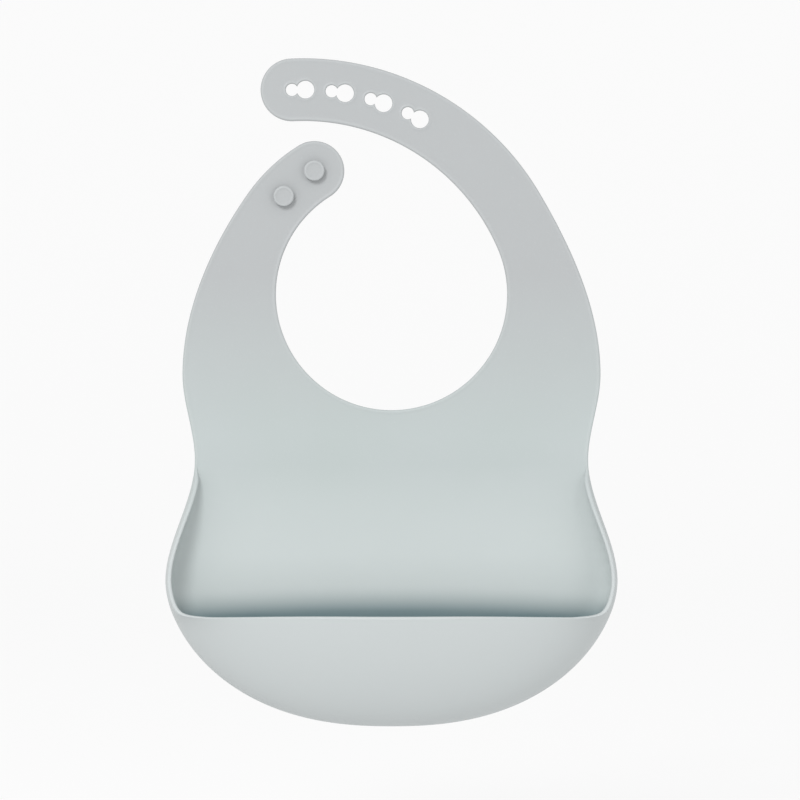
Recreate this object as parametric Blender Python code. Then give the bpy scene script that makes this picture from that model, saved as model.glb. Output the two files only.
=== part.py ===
"""Silicone baby bib with a scoop pocket, moulded studs and a row of keyholes.

The bib stands upright as it is worn. X runs to the viewer's right, Z up, and the front faces -Y.
The origin is the centre of the neck opening, in the middle of the sheet's thickness.
In life the sheet is one moulding. Here it is cut along the lines where it flexes, so that each
length can turn about its own joint line.
"""

import math

import bmesh
import bpy
from mathutils import Vector

# Sheet and clearances, in metres.
SHEET = 0.0020
GAP = 0.0003

# Neck opening, and the strap that carries the studs.
NECK_RADIUS = 0.0578
STUD_STRAP_WIDTH = 0.0300
STUD_STRAP_END = math.radians(122.0)
STUD_STRAP_SHOULDER = math.radians(145.0)
# The strap bends short of its studs, so that they stand on a length that keeps its shape.
STUD_STRAP_JOINTS = (math.radians(172.0), math.radians(151.0))

# The strap that carries the keyholes. Its inner edge leaves the neck circle as a tangent.
KEY_STRAP_WIDTH = 0.0314
KEY_STRAP_RADIUS = 0.1215
KEY_STRAP_END = math.radians(92.7)
KEY_STRAP_SHOULDER = math.radians(30.3)
KEY_STRAP_TANGENT = math.radians(23.4)
KEY_STRAP_JOINTS = (KEY_STRAP_TANGENT, math.radians(39.0), math.radians(55.5))

# Fastening. Each stud's neck sits in the small end of a keyhole, so one pitch spaces them both.
FASTENER_PITCH = 0.0199
KEYHOLE_COUNT = 4
KEYHOLE_LARGE_RADIUS = 0.00440
KEYHOLE_SMALL_RADIUS = 0.00305
KEYHOLE_OFFSET = 0.00675
STUD_NECK_CLEARANCE = 0.00015
STUD_GRIP_CLEARANCE = 0.0004
STUD_HEAD_OVERHANG = 0.0022
STUD_HEAD_THICKNESS = 0.0016
STUD_HEAD_EDGE = 0.0004
STUD_SIDES = 32

# Body outline: half widths, and the heights where they are reached.
SHOULDER_HALF_WIDTH = 0.1045
SHOULDER_HEIGHT = -0.0400
WAIST_HALF_WIDTH = 0.0983
WAIST_HEIGHT = -0.0828
POCKET_HALF_WIDTH = 0.1128
POCKET_WIDE_HEIGHT = -0.1430
BOTTOM_HEIGHT = -0.2158
BOTTOM_FULLNESS_ACROSS = 2.36
BOTTOM_FULLNESS_DOWN = 1.78
SHOULDER_EASE = 0.335
WAIST_JOINT_BELOW_NECK = 0.0060

# Scoop pocket: the lip's height at the middle, how much lower it is at the corners, and its reach.
POCKET_WALL = 0.0020
LIP_HEIGHT = -0.1581
LIP_DROP = 0.0024
LIP_REACH = 0.0450
LIP_CORNER_REACH = 0.0240
LIP_CORNER_ROUNDING = 0.0080
SIDE_LEAN = 0.0020
SCOOP_SWEEP = math.radians(60.0)
POLE_ABOVE_LIP = 0.0400
LIP_SWEEP = math.radians(89.0)
SIDE_WALL_TOP = math.radians(108.0)
POCKET_FRONT_HALF_WIDTH = 0.0850
CREASE_REACH = 0.0040
CREASE_ABOVE_BOTTOM = 0.0013

# The largest turn at each kind of joint line. The edges that meet there are pointed to make room.
STRAP_TURN = math.radians(36.0)
WAIST_TURN = math.radians(92.0)

EDGE_STEPS = 12
SHORT_EDGE_STEPS = 4
ROUND_END_STEPS = 20
BOTTOM_STEPS = 40
POCKET_STEPS_AROUND = 72
POCKET_STEPS_FORWARD = 9
KEYHOLE_STEPS = 24
FAR = 0.3
HALVINGS = 50
NORMAL_STEP = 0.002
CUT_TOLERANCE = 1e-7
EMPTY_SIZE = 0.01
SMOOTH_ANGLE = math.radians(35.0)

SILICONE = (0.60, 0.64, 0.65, 1.0)
SILICONE_ROUGHNESS = 0.62

FRONT = -SHEET / 2
BACK = SHEET / 2
NECK_CENTRE = Vector((0.0, 0.0))
STUD_STRAP_RADIUS = NECK_RADIUS + STUD_STRAP_WIDTH / 2
STUD_STRAP_OUTER = NECK_RADIUS + STUD_STRAP_WIDTH
KEY_STRAP_INNER = KEY_STRAP_RADIUS - KEY_STRAP_WIDTH / 2
KEY_STRAP_OUTER = KEY_STRAP_RADIUS + KEY_STRAP_WIDTH / 2
WAIST_JOINT_HEIGHT = -NECK_RADIUS - WAIST_JOINT_BELOW_NECK
POLE_HEIGHT = LIP_HEIGHT + POLE_ABOVE_LIP
CREASE_AXIS = Vector((0.0, -CREASE_REACH, BOTTOM_HEIGHT + CREASE_ABOVE_BOTTOM))


def ray(angle):
    return Vector((math.cos(angle), math.sin(angle)))


KEY_STRAP_CENTRE = -(KEY_STRAP_INNER - NECK_RADIUS) * ray(KEY_STRAP_TANGENT)


# Outlines are lists of points (x, z).


def arc(centre, radius, start, end, steps):
    return [centre + radius * ray(start + (end - start) * i / steps) for i in range(steps + 1)]


def bezier(curve, share):
    a, b, c, d = curve
    rest = 1 - share
    return a * rest**3 + b * 3 * rest**2 * share + c * 3 * rest * share**2 + d * share**3


def shoulder_curve(side):
    """The edge from a strap's outer arc down to the widest point of the shoulder."""
    if side < 0:
        start = STUD_STRAP_OUTER * ray(STUD_STRAP_SHOULDER)
        direction = ray(STUD_STRAP_SHOULDER + math.pi / 2)
    else:
        start = KEY_STRAP_CENTRE + KEY_STRAP_OUTER * ray(KEY_STRAP_SHOULDER)
        direction = ray(KEY_STRAP_SHOULDER - math.pi / 2)
    end = Vector((side * SHOULDER_HALF_WIDTH, SHOULDER_HEIGHT))
    reach = SHOULDER_EASE * (end - start).length
    return start, start + direction * reach, end + Vector((0.0, reach)), end


def crossing(curve, centre, angle):
    """How far along the curve a line through the centre at this angle crosses it, from 0 to 1."""
    across = ray(angle + math.pi / 2)
    low, high = 0.0, 1.0
    starts_above = (curve[0] - centre).dot(across) > 0
    for _ in range(HALVINGS):
        middle = (low + high) / 2
        if ((bezier(curve, middle) - centre).dot(across) > 0) == starts_above:
            low = middle
        else:
            high = middle
    return low


def along(curve, start, end, steps):
    return [bezier(curve, start + (end - start) * i / steps) for i in range(steps + 1)]


def eased(share):
    return share * share * (3 - 2 * share)


def half_width(height):
    """Half the bib's width at a height below the shoulder."""
    if height >= WAIST_HEIGHT:
        share = (SHOULDER_HEIGHT - height) / (SHOULDER_HEIGHT - WAIST_HEIGHT)
        return SHOULDER_HALF_WIDTH + (WAIST_HALF_WIDTH - SHOULDER_HALF_WIDTH) * eased(share)
    if height >= POCKET_WIDE_HEIGHT:
        share = (WAIST_HEIGHT - height) / (WAIST_HEIGHT - POCKET_WIDE_HEIGHT)
        return WAIST_HALF_WIDTH + (POCKET_HALF_WIDTH - WAIST_HALF_WIDTH) * eased(share)
    down = min(1.0, (POCKET_WIDE_HEIGHT - height) / (POCKET_WIDE_HEIGHT - BOTTOM_HEIGHT))
    return POCKET_HALF_WIDTH * (1 - down**BOTTOM_FULLNESS_DOWN) ** (1 / BOTTOM_FULLNESS_ACROSS)


def side_edge(side, top, bottom):
    heights = [top + (bottom - top) * i / EDGE_STEPS for i in range(EDGE_STEPS + 1)]
    return [Vector((side * half_width(height), height)) for height in heights]


def bottom_edge():
    """The rounded bottom from its widest point on the right to the one on the left."""
    points = []
    for i in range(BOTTOM_STEPS + 1):
        turn = ray(math.pi * i / BOTTOM_STEPS)
        width = POCKET_HALF_WIDTH * math.copysign(abs(turn.x) ** (2 / BOTTOM_FULLNESS_ACROSS), turn.x)
        depth = (POCKET_WIDE_HEIGHT - BOTTOM_HEIGHT) * abs(turn.y) ** (2 / BOTTOM_FULLNESS_DOWN)
        points.append(Vector((width, POCKET_WIDE_HEIGHT - depth)))
    return points


def strap_length(centre, inner, outer, start, end, pull):
    """A curved length of strap between two joint lines, drawn back from both by pull."""
    turn = math.copysign(1.0, end - start)
    near = arc(centre, inner, start + turn * pull / inner, end - turn * pull / inner, EDGE_STEPS)
    far = arc(centre, outer, end - turn * pull / outer, start + turn * pull / outer, EDGE_STEPS)
    return near + far


def strap_end(centre, inner, outer, start, end, pull):
    """The last length of a strap, from a joint line to its rounded end."""
    turn = math.copysign(1.0, end - start)
    middle = centre + (inner + outer) / 2 * ray(end)
    near = arc(centre, inner, start + turn * pull / inner, end, EDGE_STEPS)
    cap = arc(middle, (outer - inner) / 2, end + math.pi, end + math.pi - turn * math.pi, ROUND_END_STEPS)
    far = arc(centre, outer, end, start + turn * pull / outer, EDGE_STEPS)
    return near[:-1] + cap + far[1:]


def stud_strap_root_outline(pull):
    curve = shoulder_curve(-1)
    start, end = STUD_STRAP_JOINTS
    near = arc(NECK_CENTRE, NECK_RADIUS, start - pull / NECK_RADIUS, end + pull / NECK_RADIUS, EDGE_STEPS)
    top = crossing(curve, NECK_CENTRE, end + pull / STUD_STRAP_OUTER)
    bottom = crossing(curve, NECK_CENTRE, start - pull / STUD_STRAP_OUTER)
    return near + along(curve, top, bottom, EDGE_STEPS)


def stud_strap_tip_outline(pull):
    start = STUD_STRAP_JOINTS[1]
    points = strap_end(NECK_CENTRE, NECK_RADIUS, STUD_STRAP_OUTER, start, STUD_STRAP_END, pull)
    curve = shoulder_curve(-1)
    meeting = crossing(curve, NECK_CENTRE, start - pull / STUD_STRAP_OUTER)
    far = arc(NECK_CENTRE, STUD_STRAP_OUTER, STUD_STRAP_END, STUD_STRAP_SHOULDER, EDGE_STEPS)
    return points[:-EDGE_STEPS] + far[1:] + along(curve, 0.0, meeting, SHORT_EDGE_STEPS)[1:]


def key_strap_root_outline(pull):
    curve = shoulder_curve(1)
    start, end = KEY_STRAP_JOINTS[:2]
    centre, inner, outer = KEY_STRAP_CENTRE, KEY_STRAP_INNER, KEY_STRAP_OUTER
    near = arc(centre, inner, start + pull / inner, end - pull / inner, EDGE_STEPS)
    far = arc(centre, outer, end - pull / outer, KEY_STRAP_SHOULDER, EDGE_STEPS)
    bottom = crossing(curve, centre, start + pull / outer)
    return near + far + along(curve, 0.0, bottom, EDGE_STEPS)[1:]


def key_strap_middle_outline(pull):
    start, end = KEY_STRAP_JOINTS[1:]
    return strap_length(KEY_STRAP_CENTRE, KEY_STRAP_INNER, KEY_STRAP_OUTER, start, end, pull)


def key_strap_tip_outline(pull):
    start = KEY_STRAP_JOINTS[2]
    return strap_end(KEY_STRAP_CENTRE, KEY_STRAP_INNER, KEY_STRAP_OUTER, start, KEY_STRAP_END, pull)


def chest_outline(pull, waist_pull):
    left, right = shoulder_curve(-1), shoulder_curve(1)
    start = STUD_STRAP_JOINTS[0] + pull / NECK_RADIUS
    end = math.tau + KEY_STRAP_TANGENT - pull / NECK_RADIUS
    neck = arc(NECK_CENTRE, NECK_RADIUS, start, end, BOTTOM_STEPS)
    right_start = crossing(right, KEY_STRAP_CENTRE, KEY_STRAP_TANGENT - pull / KEY_STRAP_OUTER)
    left_end = crossing(left, NECK_CENTRE, STUD_STRAP_JOINTS[0] + pull / STUD_STRAP_OUTER)
    bottom = WAIST_JOINT_HEIGHT + waist_pull
    right_side = along(right, right_start, 1.0, EDGE_STEPS) + side_edge(1, SHOULDER_HEIGHT, bottom)[1:]
    left_side = side_edge(-1, SHOULDER_HEIGHT, bottom)[:0:-1] + along(left, 1.0, left_end, EDGE_STEPS)
    return neck + right_side + left_side


def pocket_back_outline(pull):
    top = WAIST_JOINT_HEIGHT - pull
    right = side_edge(1, top, WAIST_HEIGHT)[:-1] + side_edge(1, WAIST_HEIGHT, POCKET_WIDE_HEIGHT)[:-1]
    left = [Vector((-point.x, point.y)) for point in reversed(right)]
    return right + bottom_edge() + left


def keyhole_outline(small_centre, large_centre):
    """Two overlapping circles as one outline."""
    apart = large_centre - small_centre
    distance = apart.length
    heading = math.atan2(apart.y, apart.x)
    r, s = KEYHOLE_LARGE_RADIUS, KEYHOLE_SMALL_RADIUS
    small_half = math.acos((distance**2 + s**2 - r**2) / (2 * distance * s))
    large_half = math.acos((distance**2 + r**2 - s**2) / (2 * distance * r))
    small = arc(small_centre, s, heading + small_half, heading + math.tau - small_half, KEYHOLE_STEPS)
    opposite = heading + math.pi
    large = arc(large_centre, r, opposite + large_half, opposite + math.tau - large_half, KEYHOLE_STEPS)
    return small[:-1] + large[:-1]


# Solids. Every mesh is made where it belongs, then moved so that its origin is on its joint.


def closed_stack(layers, heights):
    """A solid through equal outlines stacked along Y."""
    mesh = bmesh.new()
    rings = [[mesh.verts.new((x, y, z)) for x, z in layer] for layer, y in zip(layers, heights)]
    count = len(rings[0])
    for low, high in zip(rings, rings[1:]):
        for i in range(count):
            j = (i + 1) % count
            mesh.faces.new((low[i], low[j], high[j], high[i]))
    mesh.faces.new(rings[0])
    mesh.faces.new(rings[-1])
    bmesh.ops.recalc_face_normals(mesh, faces=mesh.faces)
    return mesh


def sheet_length(outline, turn):
    """A length of the sheet. Its joint edges come to a point in the middle of the thickness."""
    point = GAP / 2
    face = point + SHEET / 2 * math.tan(turn / 2)
    return closed_stack([outline(face), outline(point), outline(face)], (FRONT, 0.0, BACK))


def chest_panel():
    point = GAP / 2
    strap = point + SHEET / 2 * math.tan(STRAP_TURN / 2)
    waist = point + SHEET / 2 * math.tan(WAIST_TURN / 2)
    layers = [chest_outline(strap, waist), chest_outline(point, point), chest_outline(strap, waist)]
    return closed_stack(layers, (FRONT, 0.0, BACK))


def keyhole_cutter():
    """One cutter through the strap for each keyhole, as separate bodies of one mesh."""
    mesh = bmesh.new()
    for index in range(KEYHOLE_COUNT):
        small = KEY_STRAP_END - index * FASTENER_PITCH / KEY_STRAP_RADIUS
        large = small - KEYHOLE_OFFSET / KEY_STRAP_RADIUS
        centres = [KEY_STRAP_CENTRE + KEY_STRAP_RADIUS * ray(angle) for angle in (small, large)]
        outline = keyhole_outline(*centres)
        body = closed_stack([outline, outline], (FRONT - SHEET, BACK + SHEET))
        lump = bpy.data.meshes.new("keyhole")
        body.to_mesh(lump)
        body.free()
        mesh.from_mesh(lump)
        bpy.data.meshes.remove(lump)
    return mesh


def stud(angle):
    """A round button: a neck as thick as the keyhole's small end allows, under a flat head."""
    centre = STUD_STRAP_RADIUS * ray(angle)
    neck = KEYHOLE_SMALL_RADIUS - STUD_NECK_CLEARANCE
    head = neck + STUD_HEAD_OVERHANG
    base = FRONT - GAP
    under = FRONT - SHEET - STUD_GRIP_CLEARANCE
    top = under - STUD_HEAD_THICKNESS
    edge = STUD_HEAD_EDGE
    profile = (
        (neck, base),
        (neck, under),
        (head - edge, under),
        (head, under - edge),
        (head, top + edge),
        (head - edge, top),
    )
    circles = [arc(centre, radius, 0.0, math.tau, STUD_SIDES)[:-1] for radius, _ in profile]
    return closed_stack(circles, [y for _, y in profile])


# The pocket's wall springs from the outline of the back. Around the pole, a point in the middle of
# the bib, each angle beta from straight down gives one section from the back to the rim.


def outline_reach(beta):
    """Distance from the pole to the bib's outline."""
    low, high = 0.0, FAR
    for _ in range(HALVINGS):
        middle = (low + high) / 2
        height = POLE_HEIGHT - middle * math.cos(beta)
        outside = height < BOTTOM_HEIGHT or middle * math.sin(abs(beta)) > half_width(height)
        low, high = (low, middle) if outside else (middle, high)
    return low


def rim_reach(beta, outline):
    """Distance from the pole to the rim, seen from the front: the lip, rounded into the sides.

    The lip's line runs level below the pole, so it is only met inside LIP_SWEEP.
    """
    side = outline - SIDE_LEAN
    if abs(beta) >= LIP_SWEEP:
        return side
    drop = LIP_DROP * min(1.0, POLE_ABOVE_LIP * math.tan(abs(beta)) / POCKET_FRONT_HALF_WIDTH) ** 2
    lip = (POLE_ABOVE_LIP + drop) / math.cos(beta)
    return (lip + side - math.hypot(lip - side, LIP_CORNER_ROUNDING)) / 2


def rim_forward(x, height):
    """How far forward the rim is: nothing at the waist, most at the middle of the lip."""
    fall = (WAIST_HEIGHT - height) / (WAIST_HEIGHT - LIP_HEIGHT)
    fall = max(0.0, min(1.0, fall))
    bow = 1 - min(1.0, abs(x) / POCKET_HALF_WIDTH) ** 2
    return math.sin(fall * math.pi / 2) * (LIP_CORNER_REACH + (LIP_REACH - LIP_CORNER_REACH) * bow)


def wall_point(beta, share):
    """A point of the pocket's outer surface, from the back (share 0) to the rim (share 1)."""
    outline = outline_reach(beta)
    rim = rim_reach(beta, outline)
    rim_height = POLE_HEIGHT - rim * math.cos(beta)
    start = SHEET / 2 + GAP
    end = max(start + POCKET_WALL, rim_forward(rim * math.sin(beta), rim_height))
    turn = share * SCOOP_SWEEP
    forward = start + (end - start) * math.sin(turn) / math.sin(SCOOP_SWEEP)
    inward = (1 - math.cos(turn)) / (1 - math.cos(SCOOP_SWEEP))
    reach = outline + (rim - outline) * inward
    return Vector((reach * math.sin(beta), -forward, POLE_HEIGHT - reach * math.cos(beta)))


def wall_inward(beta, share):
    """The unit vector from the outer surface towards the inside of the pocket."""
    around = wall_point(beta + NORMAL_STEP, share) - wall_point(beta - NORMAL_STEP, share)
    before, after = max(0.0, share - NORMAL_STEP), min(1.0, share + NORMAL_STEP)
    forward = wall_point(beta, after) - wall_point(beta, before)
    normal = forward.cross(around)
    if share == 0:
        normal.y = 0.0
    return normal.normalized()


def pocket_wall():
    """The whole wall of the pocket as one closed shell: outer and inner skins, and their edges."""
    mesh = bmesh.new()
    outer, inner = [], []
    for i in range(POCKET_STEPS_AROUND + 1):
        beta = SIDE_WALL_TOP * (2 * i / POCKET_STEPS_AROUND - 1)
        shares = [j / POCKET_STEPS_FORWARD for j in range(POCKET_STEPS_FORWARD + 1)]
        points = [wall_point(beta, share) for share in shares]
        inwards = [wall_inward(beta, share) for share in shares]
        outer.append([mesh.verts.new(point) for point in points])
        inner.append([mesh.verts.new(p + n * POCKET_WALL) for p, n in zip(points, inwards)])
    for i in range(POCKET_STEPS_AROUND):
        for j in range(POCKET_STEPS_FORWARD):
            mesh.faces.new((outer[i][j], outer[i + 1][j], outer[i + 1][j + 1], outer[i][j + 1]))
            mesh.faces.new((inner[i][j], inner[i][j + 1], inner[i + 1][j + 1], inner[i + 1][j]))
        for j in (0, -1):
            mesh.faces.new((outer[i][j], inner[i][j], inner[i + 1][j], outer[i + 1][j]))
    for i in (0, -1):
        for j in range(POCKET_STEPS_FORWARD):
            mesh.faces.new((outer[i][j], outer[i][j + 1], inner[i][j + 1], inner[i][j]))
    bmesh.ops.recalc_face_normals(mesh, faces=mesh.faces)
    return mesh


def keep_side(mesh, point, direction):
    """Cut a closed mesh with a plane, keep what the direction points to and close the cut."""
    geometry = mesh.verts[:] + mesh.edges[:] + mesh.faces[:]
    bmesh.ops.bisect_plane(
        mesh, geom=geometry, dist=CUT_TOLERANCE, plane_co=point, plane_no=direction, clear_inner=True
    )
    open_edges = [edge for edge in mesh.edges if edge.is_boundary]
    bmesh.ops.holes_fill(mesh, edges=open_edges, sides=0)
    bmesh.ops.recalc_face_normals(mesh, faces=mesh.faces)


def pocket_side(side):
    mesh = pocket_wall()
    keep_side(mesh, Vector((side * (POCKET_FRONT_HALF_WIDTH + GAP / 2), 0, 0)), Vector((side, 0, 0)))
    return mesh


def between_sides():
    mesh = pocket_wall()
    for side in (-1, 1):
        keep_side(mesh, Vector((side * (POCKET_FRONT_HALF_WIDTH - GAP / 2), 0, 0)), Vector((-side, 0, 0)))
    return mesh


def crease_normal():
    """Points forward from the plane that parts the crease from the front wall.

    The plane leans out through the crease's axis, and leaves the lip whole where the front ends.
    """
    lip_end = rim_forward(POCKET_FRONT_HALF_WIDTH, LIP_HEIGHT) - POCKET_WALL
    rise = LIP_HEIGHT - CREASE_AXIS.z
    return Vector((0.0, -rise, -(lip_end - CREASE_REACH))).normalized()


def pocket_front():
    mesh = between_sides()
    keep_side(mesh, CREASE_AXIS + crease_normal() * GAP / 2, crease_normal())
    return mesh


def pocket_crease():
    mesh = between_sides()
    keep_side(mesh, CREASE_AXIS - crease_normal() * GAP / 2, -crease_normal())
    return mesh


# Placing the pieces.


def clear_scene():
    for item in list(bpy.data.objects):
        bpy.data.objects.remove(item, do_unlink=True)


def silicone(name):
    material = bpy.data.materials.new(name)
    material.use_nodes = True
    shader = material.node_tree.nodes["Principled BSDF"]
    shader.inputs["Base Color"].default_value = SILICONE
    shader.inputs["Roughness"].default_value = SILICONE_ROUGHNESS
    shader.inputs["Metallic"].default_value = 0.0
    return material


def joint_empty(name, position, parent):
    empty = bpy.data.objects.new(name, None)
    empty.empty_display_size = EMPTY_SIZE
    bpy.context.scene.collection.objects.link(empty)
    empty.parent = parent
    origin = parent["origin"] if parent else (0.0, 0.0, 0.0)
    empty.location = Vector(position) - Vector(origin)
    empty["origin"] = tuple(position)
    return empty


def add_piece(name, mesh, joint):
    origin = Vector(joint["origin"])
    bmesh.ops.translate(mesh, vec=-origin, verts=mesh.verts)
    data = bpy.data.meshes.new(name)
    mesh.to_mesh(data)
    mesh.free()
    piece = bpy.data.objects.new(name, data)
    piece.data.materials.append(silicone(name))
    bpy.context.scene.collection.objects.link(piece)
    piece.parent = joint
    data.shade_smooth()
    data.set_sharp_from_angle(angle=SMOOTH_ANGLE)
    return piece


def joint_point(centre, radius, angle):
    point = centre + radius * ray(angle)
    return (point.x, 0.0, point.y)


def build():
    clear_scene()
    bib = joint_empty("bib", (0.0, 0.0, 0.0), None)
    add_piece("chest_panel", chest_panel(), bib)

    first, second = (joint_point(NECK_CENTRE, STUD_STRAP_RADIUS, a) for a in STUD_STRAP_JOINTS)
    root = joint_empty("stud_strap_joint", first, bib)
    tip = joint_empty("stud_strap_tip_joint", second, root)
    add_piece("stud_strap_root", sheet_length(stud_strap_root_outline, STRAP_TURN), root)
    add_piece("stud_strap_tip", sheet_length(stud_strap_tip_outline, STRAP_TURN), tip)
    add_piece("stud_upper", stud(STUD_STRAP_END), tip)
    add_piece("stud_lower", stud(STUD_STRAP_END + FASTENER_PITCH / STUD_STRAP_RADIUS), tip)

    points = [joint_point(KEY_STRAP_CENTRE, KEY_STRAP_RADIUS, a) for a in KEY_STRAP_JOINTS]
    root = joint_empty("keyhole_strap_joint", points[0], bib)
    middle = joint_empty("keyhole_strap_middle_joint", points[1], root)
    tip = joint_empty("keyhole_strap_tip_joint", points[2], middle)
    add_piece("keyhole_strap_root", sheet_length(key_strap_root_outline, STRAP_TURN), root)
    add_piece("keyhole_strap_middle", sheet_length(key_strap_middle_outline, STRAP_TURN), middle)
    strap_tip = add_piece("keyhole_strap_tip", sheet_length(key_strap_tip_outline, STRAP_TURN), tip)
    cutter = add_piece("keyhole_cutter", keyhole_cutter(), tip)
    cutter.hide_render = True
    cutter.display_type = "WIRE"
    cut = strap_tip.modifiers.new("keyholes", "BOOLEAN")
    cut.operation = "DIFFERENCE"
    cut.object = cutter

    waist = joint_empty("waist_joint", (0.0, 0.0, WAIST_JOINT_HEIGHT), bib)
    lip = joint_empty("pocket_lip_joint", tuple(CREASE_AXIS), waist)
    add_piece("pocket_back", sheet_length(pocket_back_outline, WAIST_TURN), waist)
    add_piece("pocket_side_left", pocket_side(-1), waist)
    add_piece("pocket_side_right", pocket_side(1), waist)
    add_piece("pocket_crease", pocket_crease(), waist)
    add_piece("pocket_front", pocket_front(), lip)


build()
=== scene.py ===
"""Looks of the silicone bib: one moulded skin, split where the bib flexes, with its camera and light."""
import math

import bmesh
import bpy
import numpy as np
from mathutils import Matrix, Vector
from mathutils.geometry import delaunay_2d_cdt


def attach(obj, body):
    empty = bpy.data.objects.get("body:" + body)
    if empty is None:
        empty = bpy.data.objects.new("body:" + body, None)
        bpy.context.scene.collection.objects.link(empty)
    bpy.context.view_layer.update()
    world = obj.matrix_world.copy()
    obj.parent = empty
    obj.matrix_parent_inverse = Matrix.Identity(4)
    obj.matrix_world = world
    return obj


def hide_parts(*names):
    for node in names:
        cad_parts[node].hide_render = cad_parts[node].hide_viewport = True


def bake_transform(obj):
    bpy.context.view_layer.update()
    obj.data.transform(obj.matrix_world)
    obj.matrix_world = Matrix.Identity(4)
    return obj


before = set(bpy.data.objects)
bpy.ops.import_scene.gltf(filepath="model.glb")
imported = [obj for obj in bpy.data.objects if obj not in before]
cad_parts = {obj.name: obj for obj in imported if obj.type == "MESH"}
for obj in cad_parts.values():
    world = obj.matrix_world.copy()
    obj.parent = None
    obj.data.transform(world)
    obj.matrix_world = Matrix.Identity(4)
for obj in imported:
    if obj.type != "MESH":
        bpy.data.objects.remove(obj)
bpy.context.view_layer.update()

# Sizes and angles shared with the frame, in metres and radians. Angles on the straps are counted from
# +X, upwards.
SHEET = 0.0020
NECK_RADIUS = 0.0578
STUD_STRAP_WIDTH = 0.0300
STUD_STRAP_END = math.radians(122.0)
STUD_STRAP_SHOULDER = math.radians(145.0)
KEY_STRAP_WIDTH = 0.0314
KEY_STRAP_RADIUS = 0.1215
KEY_STRAP_END = math.radians(92.7)
KEY_STRAP_SHOULDER = math.radians(30.3)
KEY_STRAP_TANGENT = math.radians(23.4)
FASTENER_PITCH = 0.0199
KEYHOLE_COUNT = 4
KEYHOLE_LARGE_RADIUS = 0.00440
KEYHOLE_SMALL_RADIUS = 0.00305
KEYHOLE_OFFSET = 0.00675
SHOULDER_HALF_WIDTH = 0.1045
SHOULDER_HEIGHT = -0.0400
WAIST_HALF_WIDTH = 0.0983
WAIST_HEIGHT = -0.0828
POCKET_HALF_WIDTH = 0.1128
POCKET_WIDE_HEIGHT = -0.1430
BOTTOM_HEIGHT = -0.2158
BOTTOM_FULLNESS_ACROSS = 2.36
BOTTOM_FULLNESS_DOWN = 1.78
SHOULDER_EASE = 0.335
WAIST_JOINT_HEIGHT = -NECK_RADIUS - 0.0060
POCKET_WALL = 0.0020
LIP_HEIGHT = -0.1581
LIP_DROP = 0.0024
LIP_REACH = 0.0450
LIP_CORNER_REACH = 0.0240
LIP_CORNER_ROUNDING = 0.0080
SIDE_LEAN = 0.0020
SCOOP_SWEEP = math.radians(60.0)
POLE_ABOVE_LIP = 0.0400
POCKET_FRONT_HALF_WIDTH = 0.0850
POLE_HEIGHT = LIP_HEIGHT + POLE_ABOVE_LIP
STUD_STRAP_RADIUS = NECK_RADIUS + STUD_STRAP_WIDTH / 2
STUD_STRAP_OUTER = NECK_RADIUS + STUD_STRAP_WIDTH
KEY_STRAP_INNER = KEY_STRAP_RADIUS - KEY_STRAP_WIDTH / 2
KEY_STRAP_OUTER = KEY_STRAP_RADIUS + KEY_STRAP_WIDTH / 2

# Seams between the pieces of skin. Each lies where both pieces follow the same body.
STUD_SEAMS = (math.radians(174.0), math.radians(153.5))
KEY_SEAMS = (math.radians(21.4), math.radians(37.0), math.radians(53.5))
CHEST_SEAM_HEIGHT = WAIST_JOINT_HEIGHT + 0.0013
POCKET_SEAM_HEIGHT = -0.0815

FRONT = -SHEET / 2
BACK = SHEET / 2
MM = 0.001

# How finely the skin is divided: lengths between points, and points along the longest curves.
ROW_SPACING = 0.0013
POCKET_ROW_SPACING = 0.0015
CHEST_SPACING = 0.0040
STRAP_SPACING = 0.0022
KEYHOLE_STRAP_SPACING = 0.0020
WAIST_SPACING = 0.0016
POCKET_SPACING = 0.0025
SEAM_SPACING = 0.0020
NECK_STEPS = 2000
STRAP_END_STEPS = 600
STUD_SIDES = 72

# The grid on the flat faces: how far its rows are apart, and how far it stays from the edges, both as
# shares of its spacing.
GRID_ROW_SHARE = 0.866
GRID_CLEARANCE = 0.62

# Points of a line closer than SAME_POINT count as one. FILL_TOLERANCE is in millimetres.
SAME_POINT = 1e-9
FILL_TOLERANCE = 1e-6
SHARP_ANGLE = math.radians(52.0)

# Cross sections in millimetres: (inset from the edge, depth), from the front face round to the back.
EDGE_PROFILE = (
    (2.80, -1.00), (2.35, -1.00), (2.00, -1.02), (1.70, -1.07), (1.42, -1.12), (1.15, -1.16),
    (0.90, -1.17), (0.66, -1.13), (0.42, -1.01), (0.20, -0.80), (0.06, -0.50), (0.00, -0.10),
    (0.03, 0.30), (0.13, 0.64), (0.32, 0.88), (0.58, 0.98), (0.90, 1.00),
)
# The places in EDGE_PROFILE that bound the top of the bead.
EDGE_TOP = (5, 7)
KEYHOLE_PROFILE = (
    (1.90, -1.00), (1.55, -1.03), (1.25, -1.12), (0.98, -1.24), (0.72, -1.31), (0.47, -1.29),
    (0.25, -1.15), (0.10, -0.92), (0.02, -0.55), (0.00, 0.00), (0.03, 0.45), (0.14, 0.76),
    (0.38, 0.95), (0.75, 1.00),
)
# Stud: (radius, depth), from inside the sheet to the middle of the head.
STUD_PROFILE = (
    (0.00, -0.60), (4.60, -0.60), (4.85, -0.96), (4.40, -1.02), (3.95, -1.12), (3.55, -1.30),
    (3.16, -1.56), (2.96, -1.90), (2.90, -2.30), (2.90, -2.90), (2.96, -3.15), (3.16, -3.32),
    (3.55, -3.40), (4.30, -3.40), (4.62, -3.43), (4.88, -3.54), (5.04, -3.74), (5.10, -4.00),
    (5.10, -4.36), (5.04, -4.62), (4.88, -4.82), (4.62, -4.95), (4.30, -5.00), (3.98, -4.99),
    (3.70, -4.92), (3.46, -4.83), (3.20, -4.78), (2.80, -4.76), (1.60, -4.76), (0.60, -4.76),
)
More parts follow.
